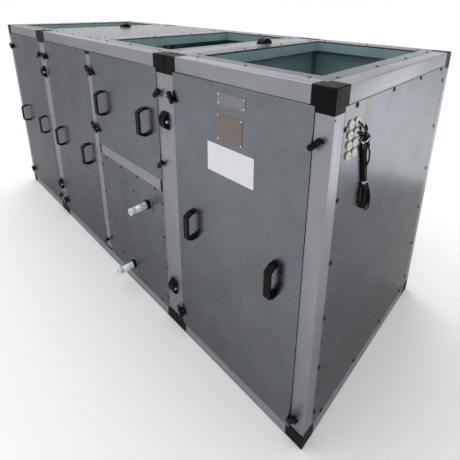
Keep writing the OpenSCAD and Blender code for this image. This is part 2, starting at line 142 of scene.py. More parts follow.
class AirUnitCamera(bpy.types.PropertyGroup):
    """Where the camera stands and how it is set"""

    place: FloatVectorProperty(
        name="Place", description="Where the camera stands",
        default=(1.6305, -1.15, 1.378), subtype="XYZ", unit="LENGTH",
    )
    azimuth: FloatProperty(
        name="Azimuth", description="Turn round the unit", default=math.radians(43.03), subtype="ANGLE"
    )
    elevation: FloatProperty(
        name="Elevation", description="Tilt down", default=math.radians(17.39), subtype="ANGLE"
    )
    roll: FloatProperty(
        name="Roll", description="Turn about the view axis", default=math.radians(1.0), subtype="ANGLE"
    )
    lens: FloatProperty(name="Lens", description="Focal length", default=27.196, min=1, unit="CAMERA")
    shift: FloatVectorProperty(
        name="Shift", description="Shift of the frame, as a share of its width",
        default=(-0.0301, -0.2592), size=2,
    )


def add(tree, kind, inputs=None, **settings):
    """Adds a shader node, sets its properties, and fills or links its inputs."""
    made = tree.nodes.new("ShaderNode" + kind)
    for name, value in settings.items():
        setattr(made, name, value)
    for socket, value in (inputs or {}).items():
        if isinstance(value, bpy.types.NodeSocket):
            tree.links.new(value, made.inputs[socket])
        else:
            made.inputs[socket].default_value = value
    return made


# Sockets of the colour kind of the Mix node
FACTOR, MIX_A, MIX_B, MIX_OUT = 0, 6, 7, 2
# Dull metal nearly keeps its own tone at grazing angles
DULL = 0.5


class Finish:
    """A new material with its node tree, shader and object coordinates."""

    def __init__(self, name, metallic=0.0, grazing=1.0):
        self.material = bpy.data.materials.new(name)
        self.material.use_nodes = True
        self.tree = self.material.node_tree
        self.shader = self.tree.nodes["Principled BSDF"]
        self.shader.inputs["Metallic"].default_value = metallic
        self.shader.inputs["Specular Tint"].default_value = (grazing, grazing, grazing, 1)
        self.place = self.add("TexCoord").outputs["Object"]

    def add(self, kind, inputs=None, **settings):
        return add(self.tree, kind, inputs, **settings)

    def noise(self, size_mm, detail=2.0):
        """Noise whose features are about this many millimetres across."""
        inputs = {"Vector": self.place, "Scale": 1 / (size_mm * MM), "Detail": detail}
        return self.add("TexNoise", inputs).outputs["Fac"]

    def between(self, pattern, low, high, start=0.3, end=0.7):
        """A pattern's usual range spread from low to high."""
        return self.add("MapRange", {0: pattern, 1: start, 2: end, 3: low, 4: high}).outputs[0]

    def shaded(self, base, shade):
        """A colour multiplied by a grey pattern."""
        inputs = {FACTOR: 1.0, MIX_A: base, MIX_B: shade}
        return self.add("Mix", inputs, data_type="RGBA", blend_type="MULTIPLY").outputs[MIX_OUT]

    def give(self, socket, pattern):
        """Links a pattern to an input of the shader."""
        self.tree.links.new(pattern, self.shader.inputs[socket])

    def bump(self, height, depth_mm, strength=0.5):
        """Raises the surface by a pattern, this many millimetres at full strength."""
        inputs = {"Height": height, "Distance": depth_mm * MM, "Strength": strength}
        self.give("Normal", self.add("Bump", inputs).outputs["Normal"])


def galvanised_sheet(colours):
    """Hot dip galvanised steel: a soft, wavy mirror with faint crystals, dull and greenish inside."""
    finish = Finish("galvanised_steel", metallic=1.0, grazing=DULL)
    crystal_mm = 9
    cells = {"Vector": finish.place, "Scale": 1 / (crystal_mm * MM)}
    crystals = finish.add("TexVoronoi", cells).outputs["Color"]
    tone = finish.between(crystals, 0.95, 1.05, 0, 1)
    drift = finish.between(finish.noise(140, 3.0), 0.9, 1.06)
    shade = finish.add("Math", {0: tone, 1: drift}, operation="MULTIPLY").outputs[0]

    # Inner skins lie more than this far inside the casing's faces
    skin_mm = 7
    middle = (CASING_LOW + CASING_HIGH) / 2
    half = (CASING_HIGH - CASING_LOW) / 2 - Vector((1, 1, 1)) * skin_mm * MM
    away = finish.add("VectorMath", {0: finish.place, 1: middle}, operation="SUBTRACT").outputs[0]
    away = finish.add("VectorMath", {0: away}, operation="ABSOLUTE").outputs[0]
    past = finish.add("VectorMath", {0: away, 1: half}, operation="SUBTRACT").outputs[0]
    axes = finish.add("SeparateXYZ", {0: past}).outputs
    most = finish.add("Math", {0: axes[0], 1: axes[1]}, operation="MAXIMUM").outputs[0]
    most = finish.add("Math", {0: most, 1: axes[2]}, operation="MAXIMUM").outputs[0]
    inside = finish.add("Math", {0: most, 1: 0.0}, operation="LESS_THAN").outputs[0]
    skins = {FACTOR: inside, MIX_A: colours.outer_sheet, MIX_B: colours.inner_sheet}
    skins = finish.add("Mix", skins, data_type="RGBA").outputs[MIX_OUT]

    finish.give("Base Color", finish.shaded(skins, shade))
    finish.give("Metallic", finish.between(inside, 1.0, 0.25, 0, 1))
    smooth = finish.between(crystals, 0.24, 0.3, 0, 1)
    duller = {0: inside, 1: 0.2, 2: smooth}
    finish.give("Roughness", finish.add("Math", duller, operation="MULTIPLY_ADD").outputs[0])
    finish.bump(finish.noise(420, 1.0), 1.4, 0.6)
    return finish.material


def extruded_aluminium(colours, axis):
    """Mill finish aluminium: a satin metal with coarsely drawn die lines along the profile."""
    finish = Finish("extruded_aluminium_" + axis.lower(), metallic=0.7, grazing=DULL)
    line_mm, run_mm = 2.2, 900
    stretch = tuple(1 / ((run_mm if name == axis else line_mm) * MM) for name in "XYZ")
    lines = finish.add("Mapping", {"Vector": finish.place, "Scale": stretch}).outputs[0]
    die = finish.add("TexNoise", {"Vector": lines, "Scale": 1.0, "Detail": 2.0}).outputs["Fac"]
    drift = finish.between(finish.noise(150), 0.93, 1.05)
    finish.give("Base Color", finish.shaded(colours.aluminium, drift))
    finish.give("Roughness", finish.between(die, 0.32, 0.46))
    finish.bump(die, 0.04)
    return finish.material


def moulded(name, base, roughness, grain_mm, depth_mm, gleam=0.5, drift=0.12):
    """Moulded plastic or rubber: a coarsely drawn mould grain and a slight drift of gloss."""
    finish = Finish(name)
    finish.shader.inputs["Specular IOR Level"].default_value = gleam
    gloss = finish.noise(30)
    finish.give("Base Color", finish.shaded(base, finish.between(gloss, 1 - drift, 1 + drift)))
    finish.give("Roughness", finish.between(gloss, roughness - 0.06, roughness + 0.06))
    finish.bump(finish.noise(grain_mm, 3.0), depth_mm)
    return finish.material


def plated(name, base, roughness, metallic=1.0):
    """Plated steel: a clean metal with a faint bloom."""
    finish = Finish(name, metallic)
    bloom = finish.noise(18, 4.0)
    finish.give("Base Color", finish.shaded(base, finish.between(bloom, 0.9, 1.05)))
    finish.give("Roughness", finish.between(bloom, roughness - 0.06, roughness + 0.06))
    return finish.material


def dress(node, material):
    """Gives a CAD node its finish."""
    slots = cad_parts[node].data.materials
    slots.clear()
    slots.append(material)


def own(data, name, replaced=()):
    """Puts finished mesh or curve data into the scene as a piece of the unit."""
    piece = bpy.data.objects.new(name, data)
    bpy.context.scene.collection.objects.link(piece)
    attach(piece, BODY)
    if replaced:
        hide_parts(*replaced)
    return piece


def settle(name, bm, material, replaced=()):
    """Turns a finished bmesh into a piece of the unit."""
    mesh = bpy.data.meshes.new(name)
    bm.to_mesh(mesh)
    bm.free()
    # Normals that came with the frame don't fit the changed shape
    if "custom_normal" in mesh.attributes:
        mesh.attributes.remove(mesh.attributes["custom_normal"])
    mesh.materials.append(material)
    return own(mesh, name, replaced)


def bevel(bm, edges, radius, segments=2, clamp=False):
    """Bevels edges of a bmesh and gives back the new faces."""
    made = bmesh.ops.bevel(
        bm, geom=edges, offset=radius, affect="EDGES", segments=segments,
        profile=0.5, material=-1, clamp_overlap=clamp,
    )
    return made["faces"]


def softened(name, node, radius, material):
    """A copy of a CAD node with its sharp edges rounded, in the node's place."""
    bm = bmesh.new()
    bm.from_mesh(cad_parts[node].data)
    bmesh.ops.remove_doubles(bm, verts=bm.verts, dist=0.01 * MM)
    bmesh.ops.dissolve_limit(bm, angle_limit=math.radians(1), verts=bm.verts, edges=bm.edges)
    slight, sharp = math.radians(1), math.radians(25)
    turns = {e: e.calc_face_angle(0.0) for e in bm.edges}
    for face in bm.faces:
        face.smooth = any(slight < turns[e] < sharp for e in face.edges)
    edges = [e for e, turn in turns.items() if turn > sharp]
    for face in bevel(bm, edges, radius, clamp=True):
        face.smooth = True
    return settle(name, bm, material, [node])


def spun(outline, steps):
    """A mesh spun about Z from an outline of (radius, height) points in millimetres."""
    bm = bmesh.new()
    verts = [bm.verts.new((r * MM, 0, z * MM)) for r, z in outline]
    edges = [bm.edges.new(pair) for pair in zip(verts, verts[1:])]
    bmesh.ops.spin(
        bm, geom=verts + edges, cent=(0, 0, 0), axis=(0, 0, 1), angle=math.tau, steps=steps, use_merge=True
    )
    bmesh.ops.remove_doubles(bm, verts=bm.verts, dist=0.001 * MM)
    bmesh.ops.recalc_face_normals(bm, faces=bm.faces)
    for face in bm.faces:
        face.smooth = True
    mesh = bpy.data.meshes.new("spun")
    bm.to_mesh(mesh)
    bm.free()
    return mesh


def stamp(bm, mesh, matrix):
    """Adds a copy of a mesh to a bmesh that nothing was deleted from, moved by a matrix."""
    known = len(bm.verts)
    bm.from_mesh(mesh)
    bm.verts.ensure_lookup_table()
    bmesh.ops.transform(bm, matrix=matrix, verts=bm.verts[known:])


def facing(place, normal):
    """A matrix that puts +Z along a normal at a place."""
    return Matrix.Translation(place) @ Vector(normal).to_track_quat("Z", "Y").to_matrix().to_4x4()


def spread(low, high, margin, pitch):
    """Even places along an edge, about a pitch apart."""
    run = high - low - 2 * margin
    count = max(1, round(run / pitch))
    return [low + margin + run * i / count for i in range(count + 1)]


def dome_head(d, h):
    """Outline of a low domed screw head with a driver socket, for a head of d by h millimetres."""
    r = d / 2
    socket = [(0, 0.55 * h), (0.22 * r, 0.55 * h), (0.3 * r, h)]
    return [*socket, (0.62 * r, 0.86 * h), (0.92 * r, 0.4 * h), (r, 0), (0, 0)]


class AIRUNIT_OT_frame(bpy.types.Operator):
    """Rounds and finishes the profiles and the moulded corner pieces, and sets the corner rivets"""

    bl_idname = "air_unit.frame"
    bl_label = "Frame"

    # From the end and the side of a post to its rivets, in millimetres
    RIVET_IN, RIVET_SIDE = 10, 6

    def execute(self, context):
        colours, sizes = context.scene.air_unit_colours, context.scene.air_unit_sizes
        for axis, nodes in EXTRUSIONS.items():
            finish = extruded_aluminium(colours, axis)
            for node in nodes:
                softened(node + "_extruded", node, sizes.profile_round, finish)
        matt = moulded("matt_nylon", colours.nylon, 0.55, 1.4, 0.1, gleam=0.07)
        for node in CORNERS:
            softened(node + "_moulded", node, sizes.corner_round, matt)
        self.rivets(plated("dark_rivet", colours.screw, 0.4))
        return {"FINISHED"}

    def rivets(self, dark):
        """A small rivet through each end post beside its corner piece."""
        rivet = spun(dome_head(5, 1.2), 10)
        bm = bmesh.new()
        for node, side in (("section_a_posts", -1), ("section_c_posts", 1)):
            low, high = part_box(node)
            for y in (low.y + self.RIVET_SIDE * MM, high.y - self.RIVET_SIDE * MM):
                for z in (low.z + self.RIVET_IN * MM, high.z - self.RIVET_IN * MM):
                    stamp(bm, rivet, facing((high.x if side > 0 else low.x, y, z), (side, 0, 0)))
        settle("corner_rivets", bm, dark)


class AIRUNIT_OT_panels(bpy.types.Operator):
    """Gives the sheet panels their galvanised finish and rounds the access panels' folds"""

    bl_idname = "air_unit.panels"
    bl_label = "Panels"

    def execute(self, context):
        finish = galvanised_sheet(context.scene.air_unit_colours)
        others = ["coil_panel", "inner_wall_c", "floor_panels"]
        for node in BACK_PANELS + END_PANELS + TOP_PANELS + others:
            dress(node, finish)
        fold = context.scene.air_unit_sizes.fold_round
        for node in ACCESS_PANELS:
            softened(node + "_folded", node, fold, finish)
        return {"FINISHED"}


class AIRUNIT_OT_screws(bpy.types.Operator):
    """Sets the screws round the fixed panels"""

    bl_idname = "air_unit.screws"
    bl_label = "Panel screws"

    # Height of a screw's head, in millimetres
    HEAD_H = 2.6
    # Panels, their normal axis, its sign, and the pitches along the two other axes, in millimetres
    ROUND = [
        (END_PANELS[:1], 0, -1, (236, 195)),
        (END_PANELS[1:], 0, 1, (236, 195)),
        (BACK_PANELS, 1, 1, (215, 195)),
        (TOP_PANELS, 2, 1, (225, 236)),
        (["coil_panel"], 1, -1, (140, 150)),
    ]
    # Two more screws on the coil panel, in millimetres from the casing's left and floor
    COIL_SCREWS = ((1588, 545), (1432, 122))

    def execute(self, context):
        colours, sizes = context.scene.air_unit_colours, context.scene.air_unit_sizes
        black = moulded("black_screw_caps", colours.screw, 0.5, 1.0, 0.02, gleam=0.1)
        large = spun(dome_head(sizes.screw_d / MM, self.HEAD_H), 12)
        small = spun(dome_head(sizes.small_screw_d / MM, self.HEAD_H), 12)
        grey = plated("grey_steel", colours.top_screw, 0.4)
        for nodes, axis, sign, pitches in self.ROUND:
            for node in nodes:
                bm = bmesh.new()
                head = large if axis == 0 else small
                for place in self.places(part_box(node), axis, sign, pitches, sizes):
                    stamp(bm, head, facing(place, [sign if i == axis else 0 for i in range(3)]))
                if node == "coil_panel":
                    for x, z in self.COIL_SCREWS:
                        stamp(bm, small, facing(in_casing(x, 0, z), (0, -1, 0)))
                settle(node + "_screws", bm, grey if axis == 2 else black)
        return {"FINISHED"}

    def places(self, box, axis, sign, pitches, sizes):
        """Places of screws along all four edges of a panel's outer face."""
        low, high = box
        a, b = [i for i in range(3) if i != axis]
        found = []
        for along, across, pitch in ((a, b, pitches[0]), (b, a, pitches[1])):
            for step in spread(low[along], high[along], sizes.screw_margin, pitch * MM):
                for edge in (low[across] + sizes.screw_in, high[across] - sizes.screw_in):
                    place = Vector((0, 0, 0))
                    place[axis] = high[axis] if sign > 0 else low[axis]
                    place[along], place[across] = step, edge
                    found.append(place)
        return found


class AIRUNIT_OT_handles(bpy.types.Operator):
    """Rounds the bow handles and the joint ears, and sets the clamps and the ears' bolts"""

    bl_idname = "air_unit.handles"
    bl_label = "Handles, clamps and ears"

    # Section joints from the casing's left, and the ears' middles over its floor, in millimetres
    JOINTS, EAR_LEVELS = (640, 1882), (216, 962)
    # Clamps: place in millimetres from the casing's left and floor, side of the panel (0 for both), run
    # to its edge, the lever's shift to the right and its slope down towards the panel in degrees
    CLAMPS = [
        *[(x, z, 1, 13, 12, slope) for x, slope in ((37, 46), (677, 46), (1919, 62)) for z in (114, 1060)],
        *[(x, z, -1, 13, 0, 46) for x in (603, 2509) for z in (114, 1060)],
        *[(1845, z, -1, 13, 0, 46) for z in (777, 1060)],
        *[(1261, z, 0, 25, 16, 36) for z in (777, 1060)],
        (1261, 114, -1, 25, 0, 46),
    ]
    # The slope of their plates, in degrees
    PLATE_SLOPE = 30

    def execute(self, context):
        colours, sizes = context.scene.air_unit_colours, context.scene.air_unit_sizes
        nylon = moulded("moulded_nylon", colours.nylon, 0.42, 1.4, 0.05, gleam=0.07)
        for node in HANDLES + ["section_joint_ears"]:
            softened(node + "_moulded", node, sizes.edge_round, nylon)
        self.clamps(nylon)
        self.bolts(plated("zinc_plated_steel", colours.zinc, 0.3))
        return {"FINISHED"}

    def clamps(self, nylon):
        """The panel clamps: a narrow plate on the frame with its finger on the panel, and a lever on it."""
        # Heights of the plate's underside and the lever's face off the casing, and the plate's thickness
        seat, front, plate_t = 3.3, 18, 5
        # The plate past the panel's edge and past the pivot, the widths, and the gap under the lever
        finger, tail, plate_w, lever_w, gap = 10, 22, 9, 16, 0.4
        levels = (seat + plate_t + gap, front)
        single, double = [self.bar((-half, half), lever_w, levels) for half in (23, 31)]
        foot = spun([(0, front), (3.4, front), (3.4, seat + 1), (6.5, seat + 1), (6.5, 0), (0, 0)], 20)
        screw = spun([(0, front + 1), (2.4, front + 1), (3.4, front), (3.4, seat), (0, seat)], 16)
        bm = bmesh.new()
        for x, z, side, edge, shift, lever_slope in self.CLAMPS:
            reach = edge + finger
            plate = self.bar((-tail if side else -reach, reach), plate_w, (seat, seat + plate_t))
            place = facing(in_casing(x, 0, z), (0, -1, 0))
            shifted = place @ Matrix.Translation((shift * MM, 0, 0))
            lever = single if side else double
            for piece, held, slope in ((plate, place, self.PLATE_SLOPE), (lever, shifted, lever_slope)):
                turn = math.radians(180 + slope if side < 0 else -slope)
                stamp(bm, piece, held @ Matrix.Rotation(turn, 4, "Z"))
            stamp(bm, foot, place)
            stamp(bm, screw, shifted)
        settle("panel_clamps_moulded", bm, nylon, ["panel_clamps"])

    def bar(self, ends, width, levels):
        """A bar along X with chamfered ends and soft edges, between two levels along Z, in millimetres."""
        (low, high), (bottom, top) = ends, levels
        bm = bmesh.new()
        bmesh.ops.create_cube(bm, size=1)
        bmesh.ops.scale(bm, vec=Vector((high - low, width, top - bottom)) * MM, verts=bm.verts)
        bmesh.ops.translate(bm, vec=Vector((low + high, 0, bottom + top)) / 2 * MM, verts=bm.verts)
        thick = [e for e in bm.edges if abs(e.verts[0].co.z - e.verts[1].co.z) > 0.1 * MM]
        chamfer, soft = width / 4, 0.9
        bevel(bm, thick, chamfer * MM, segments=1)
        for face in bevel(bm, bm.edges[:], soft * MM):
            face.smooth = True
        mesh = bpy.data.meshes.new("bar")
        bm.to_mesh(mesh)
        bm.free()
        return mesh

    def bolts(self, zinc):
        """Hexagon bolts through the front and back ears, a head on the right and a nut on the left."""
        # Thickness of an ear, half the gap between two, and the bolts' distance off the casing
        ear_t, half_gap, off = 17, 1, 11
        washer = spun([(0, 1.4), (5.4, 1.4), (6, 0.9), (6, 0), (0, 0)], 16)
        head = spun([(0, 5), (3.6, 5), (4.6, 4.4), (4.6, 1.2), (0, 1.2)], 6)
        for face in head.polygons:
            face.use_smooth = False
        bm = bmesh.new()
        depth = (CASING_HIGH.y - CASING_LOW.y) / MM
        for joint in self.JOINTS:
            for y, z in [(y, z) for y in (-off, depth + off) for z in self.EAR_LEVELS]:
                for side in (-1, 1):
                    x = joint + side * (half_gap + ear_t)
                    place = facing(in_casing(x, y, z), (side, 0, 0))
                    stamp(bm, washer, place)
                    stamp(bm, head, place)
        settle("joint_bolts", bm, zinc)


class AIRUNIT_OT_pipes(bpy.types.Operator):
    """Rounds and finishes the coil pipes, their rosettes and their sleeves, and sets their fittings"""

    bl_idname = "air_unit.pipes"
    bl_label = "Coil pipes"

    # Pipes from the casing's left and floor, diameters, and the rounding of edges, in millimetres
    PIPES = ((1705, 532), (1535, 118))
    ROSETTE_D, PIPE_D = 84, 32
    ROSETTE_ROUND, PIPE_ROUND = 0.7, 0.8

    def execute(self, context):
        colours = context.scene.air_unit_colours
        pipe = plated("zinc_plated_pipe", colours.pipe, 0.34, metallic=0.45)
        softened("coil_pipes_plated", "coil_pipes", self.PIPE_ROUND * MM, pipe)
        sheet, rosette_round = bpy.data.materials["galvanised_steel"], self.ROSETTE_ROUND * MM
        softened("pipe_rosettes_pressed", "pipe_rosettes", rosette_round, sheet)
        rubber = moulded("cable_rubber", colours.black_rubber, 0.5, 1.0, 0.05, gleam=0.14)
        softened("pipe_sleeves_moulded", "pipe_sleeves", self.PIPE_ROUND * MM, rubber)
        steel = plated("rosette_steel", colours.rim, 0.35)
        self.rims(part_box("pipe_rosettes")[0].y, steel)
        self.vent(steel)
        return {"FINISHED"}

    def rims(self, face, zinc):
        """A rolled bright rim and three rivets on each rosette."""
        r, rivet_in = self.ROSETTE_D / 2, 7
        roll = [(r - 2, 0), (r - 1.6, 1), (r - 1, 1.3), (r - 0.4, 1), (r, 0)]
        rim = spun([*roll, (r, -1), (r - 2, -1), (r - 2, 0)], 48)
        rivet = spun(dome_head(6, 1.8), 10)
        bm = bmesh.new()
        for x, z in self.PIPES:
            place = in_casing(x, 0, z)
            place.y = face
            stamp(bm, rim, facing(place, (0, -1, 0)))
            for angle in (math.radians(a) for a in (20, 140, 260)):
                off = Vector((math.cos(angle), 0, math.sin(angle))) * (r - rivet_in) * MM
                stamp(bm, rivet, facing(place + off, (0, -1, 0)))
        settle("rosette_rims", bm, zinc)

    def vent(self, zinc):
        """The air vent's cap on the upper pipe."""
        x, z = self.PIPES[0]
        tip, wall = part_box("coil_pipes")[0].y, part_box("pipe_rosettes")[0].y
        place = in_casing(x, 0, z)
        # How far it sits along the pipe and how it leans from the vertical
        share, lean = 0.6, 0.35
        place.y = tip + share * (wall - tip)
        out = Vector((lean, 0, 1)).normalized()
        cap = spun([(0, 4.5), (4, 4.5), (5, 3.6), (5, 1), (3.4, 0.4), (3.4, -2), (0, -2)], 18)
        bm = bmesh.new()
        stamp(bm, cap, facing(place + out * self.PIPE_D / 2 * MM, out))
        settle("pipe_vent", bm, zinc)


class AIRUNIT_OT_plates(bpy.types.Operator):
    """Rivets the bare plates and sticks the blank labels"""

    bl_idname = "air_unit.plates"
    bl_label = "Plates and labels"

    # Middles from the casing's left and floor, sizes and corner radii, in millimetres
    NAME_PLATE = ((2217, 1103), (115, 37, 1.2), 3)
    RATING_PLATE = ((2212, 1013), (107, 86, 1.2), 4)
    LABEL = ((2212, 902), (200, 100, 0.4), 2)
    # The same with the middle from the casing's left, front and floor
    END_LABEL = ((CASING_L, 186, 1108), (34, 70, 0.4), 2)
    # From a plate's edges to its rivets
    RIVET_IN = 5

    def execute(self, context):
        colours = context.scene.air_unit_colours
        face = (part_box("access_panel_c")[0].y - CASING_LOW.y) / MM
        front, right = ((1, 0, 0), (0, 0, 1), (0, -1, 0)), ((0, 1, 0), (0, 0, 1), (1, 0, 0))
        vinyl = moulded("label_vinyl", colours.label, 0.35, 3.0, 0.02, drift=0.015)
        for name, ((x, z), size, corner), material in (
            ("name_plate_bare", self.NAME_PLATE, plated("satin_plate", colours.name_plate, 0.3)),
            ("rating_plate_bare", self.RATING_PLATE, plated("etched_plate", colours.plate, 0.42)),
            ("label_blank", self.LABEL, vinyl),
        ):
            self.sheet(name, in_casing(x, face, z), front, size, corner, material)
        faint = moulded("end_label_vinyl", colours.end_label, 0.6, 3.0, 0.02, gleam=0.1, drift=0.015)
        place, size, corner = self.END_LABEL
        self.sheet("end_label_blank", in_casing(*place), right, size, corner, faint)
        self.rivets(face, bpy.data.materials["zinc_plated_steel"])
        return {"FINISHED"}

    def rivets(self, face, bright):
        """A rivet at each corner of the two plates."""
        rivet = spun(dome_head(6, 1.8), 10)
        bm = bmesh.new()
        for (x, z), (w, h, t), _ in (self.NAME_PLATE, self.RATING_PLATE):
            for i in (-1, 1):
                for j in (-1, 1):
                    across, up = i * (w / 2 - self.RIVET_IN), j * (h / 2 - self.RIVET_IN)
                    stamp(bm, rivet, facing(in_casing(x + across, face - t, z + up), (0, -1, 0)))
        settle("plate_rivets", bm, bright)

    def sheet(self, name, place, axes, size, corner, material):
        """A thin plate of a width, height and thickness in millimetres, with axes right, up and out."""
        w, h, t = [s * MM for s in size]
        bm = bmesh.new()
        bmesh.ops.create_cube(bm, size=1)
        bmesh.ops.scale(bm, vec=(w, h, t), verts=bm.verts)
        bmesh.ops.translate(bm, vec=(0, 0, t / 2), verts=bm.verts)
        upright = [e for e in bm.edges if abs(e.verts[0].co.z - e.verts[1].co.z) > t / 2]
        bevel(bm, upright, corner * MM, segments=4)
        rim = [e for e in bm.edges if min(v.co.z for v in e.verts) > 0.9 * t]
        bevel(bm, rim, 0.3 * t)
        turn = Matrix([Vector(axis) for axis in axes]).transposed().to_4x4()
        bmesh.ops.transform(bm, matrix=Matrix.Translation(place) @ turn, verts=bm.verts)
        return settle(name, bm, material)


class AIRUNIT_OT_cables(bpy.types.Operator):
    """Leads the two cables out of their grommets into the tied hank"""

    bl_idname = "air_unit.cables"
    bl_label = "Cables and grommets"

    # The hank, in millimetres: the middle of its top off the end panel, from the front and over the floor
    HANK_TOP = Vector((8.5, 160, 1056))
    HANK_TILT = math.radians(15)
    HANK_L = 272
    # Radius of the cables' folds, and the lowest strand's middle over the hank's bottom
    FOLD_R, STRAND_IN = 15.2, 3
    # The cables' ways from grommet to hank, off the end panel, from the front and over the floor
    TAILS = [
        [
            (1, 119, 1095), (6.3, 120, 1094), (10.1, 122.8, 1091.4), (11.5, 126.6, 1087.8),
            (12, 133.5, 1081.2), (12.6, 140.7, 1074.3), (13.1, 148, 1067.4), (13.5, 155.2, 1060.5),
        ],
        [
            (1, 119, 1067), (6.3, 120.3, 1066.6), (10.1, 124, 1065.4), (11.5, 129, 1063.8),
            (11, 138, 1060.9), (8.5, 147.6, 1057.8), (5.5, 157.1, 1054.8),
        ],
    ]
    # Each turn's layer at the folds, its strands down and up, at the ties and at the neck, as layers and
    # distances from the middle line, and how far its folds lie in from the top and the bottom
    TURNS = [
        [
            (5, (2.4, 8.5), (-0.1, 5.2), (2.4, -8.5), (-0.1, -5.2), 7, 1),
            (0, (-1, 4), (-5.3, 0), (0.6, -4), (-0.1, 0), 12, 6),
        ],
        [(-5, (-5, 8.5), (-5.3, 5.2), (-5, -8.5), (-5.3, -5.2), 5, 3)],
    ]
    # How many points of the last turn give way to the cable's end, and the end, as points of the hank
    ENDS = [
        (4, [
            (3.4, 2, 106), (5.4, 7, 96), (4.4, 14, 88), (2.6, 20, 79),
            (1.2, 21.5, 69), (0.4, 18.5, 60), (0, 16.4, 53), (0, 16.3, 46),
        ]),
        (2, [(-4.6, -6, 32), (-4, -3, 22), (-2.4, 1, 12), (-0.5, 3.6, 2), (0, 4, -5), (0, 4, -12)]),
    ]
    # The connectors' middles: distances from the hank's middle line and from its top
    CONNECTORS = ((16.3, 47), (4, -11))
    # Ties: layer, distance from the top, and half their width and depth
    TIES = {"upper": (0.4, 19, 18.6, 8.2), "lower": (-2.7, 164, 9.6, 6.8)}
    LOCK_SIZE, LOCK_ROUND = (5.5, 4.5, 6), 0.8
    GROMMET_ROUND = 1.0

    def hank(self, across, v, u):
        """A point of the hank: its layer, the distance from its middle line and that from its top."""
        c, s = math.cos(self.HANK_TILT), math.sin(self.HANK_TILT)
        x, y, z = self.HANK_TOP + Vector((across, v * c + u * s, v * s - u * c))
        return in_casing(CASING_L + x, y, z)

    def turn(self, layer, tied_down, neck_down, tied_up, neck_up, top, rise):
        """One turn of a cable from the top of the hank down, round and up again."""
        r, mid = self.FOLD_R, self.FOLD_R * math.sqrt(0.5)
        head, foot = top + r, self.HANK_L - self.STRAND_IN - rise - r
        # Distances from the top: near the ties, along the neck and where the bottom loop is open
        upper, neck, lower, loop = 40, (66, 115, 155), 180, 212
        return [
            (layer, mid, head - mid), (layer, r, head), (*tied_down, upper),
            *[(*neck_down, u) for u in neck],
            (*tied_down, lower), (layer, r, loop), (layer, r, foot), (layer, mid, foot + mid),
            (layer, 0, foot + r),
            (layer, -mid, foot + mid), (layer, -r, foot), (layer, -r, loop), (*tied_up, lower),
            *[(*neck_up, u) for u in reversed(neck)],
            (*tied_up, upper), (layer, -r, head), (layer, -mid, head - mid),
        ]

    def route(self, index):
        """All the points of a cable, from its grommet to its connector."""
        points = [in_casing(CASING_L + x, y, z) for x, y, z in self.TAILS[index]]
        turns = self.TURNS[index]
        for turn, following in zip(turns, turns[1:] + [None]):
            points += [self.hank(*p) for p in self.turn(*turn)]
            if following:
                points.append(self.hank((turn[0] + following[0]) / 2, 0, (turn[5] + following[5]) / 2))
        dropped, end = self.ENDS[index]
        return points[:-dropped] + [self.hank(*p) for p in end]

    def cable(self, name, points, d, material):
        """A round cable along smooth points, in place of the CAD tails and hank."""
        data = bpy.data.curves.new(name, "CURVE")
        data.dimensions = "3D"
        data.bevel_depth, data.bevel_resolution, data.resolution_u = d / 2, 3, 6
        data.use_fill_caps = True
        spline = data.splines.new("BEZIER")
        spline.bezier_points.add(len(points) - 1)
        for knot, point in zip(spline.bezier_points, points):
            knot.co = point
            knot.handle_left_type = knot.handle_right_type = "AUTO"
        data.materials.append(material)
        return own(data, name, ["cable_tails", "cable_hank"])

    def execute(self, context):
        colours, sizes = context.scene.air_unit_colours, context.scene.air_unit_sizes
        cream = moulded("grommet_rubber", colours.cream_rubber, 0.45, 1.0, 0.05)
        softened("cable_grommets_moulded", "cable_grommets", self.GROMMET_ROUND * MM, cream)
        rubber = bpy.data.materials["cable_rubber"]
        nylon = bpy.data.materials["moulded_nylon"]
        plug = spun(
            [
                (0, 11), (2.6, 11), (2.6, 9), (3.5, 8.4), (3.5, 2.4), (5, 1.8), (5, -6), (4.2, -7.4),
                (3.4, -7.8), (3.4, -11), (0, -11),
            ],
            18,
        )
        for index, (letter, (v, u)) in enumerate(zip("ab", self.CONNECTORS)):
            bm = bmesh.new()
            axis = self.hank(0, 0, 0) - self.hank(0, 0, 1)
            stamp(bm, plug, facing(self.hank(0, v, u), axis))
            connector = settle("cable_connector_" + letter, bm, nylon, ["cable_connectors"])
            points = self.route(index)
            cable = self.cable("cable_" + letter, points, sizes.cable_d, rubber)
        self.ties(sizes.tie_w / MM, moulded("natural_nylon", colours.tie, 0.35, 1.0, 0.02))
        return {"FINISHED"}

    def ties(self, width, material):
        """Cable ties round the hank: a flat band with its lock."""
        # A ring one metre in radius, scaled below to the hank's section
        inner, outer, half = 1000, 1075, width / 2
        band = spun([(inner, -half), (outer, -half), (outer, half), (inner, half), (inner, -half)], 32)
        for name, (across, u, half_v, half_x) in self.TIES.items():
            bm = bmesh.new()
            stamp(bm, band, Matrix.Diagonal((half_x * MM, half_v * MM, 1, 1)))
            lock = bmesh.ops.create_cube(bm, size=1)["verts"]
            bmesh.ops.scale(bm, vec=Vector(self.LOCK_SIZE) * MM, verts=lock)
            bmesh.ops.translate(bm, vec=(0.3 * half_x * MM, -half_v * MM, 0), verts=lock)
            rim = list({e for v in lock for e in v.link_edges})
            bevel(bm, rim, self.LOCK_ROUND * MM)
            place = Matrix.Translation(self.hank(across, 0, u)) @ Matrix.Rotation(self.HANK_TILT, 4, "X")
            bmesh.ops.transform(bm, matrix=place, verts=bm.verts)
            settle("cable_tie_" + name, bm, material)


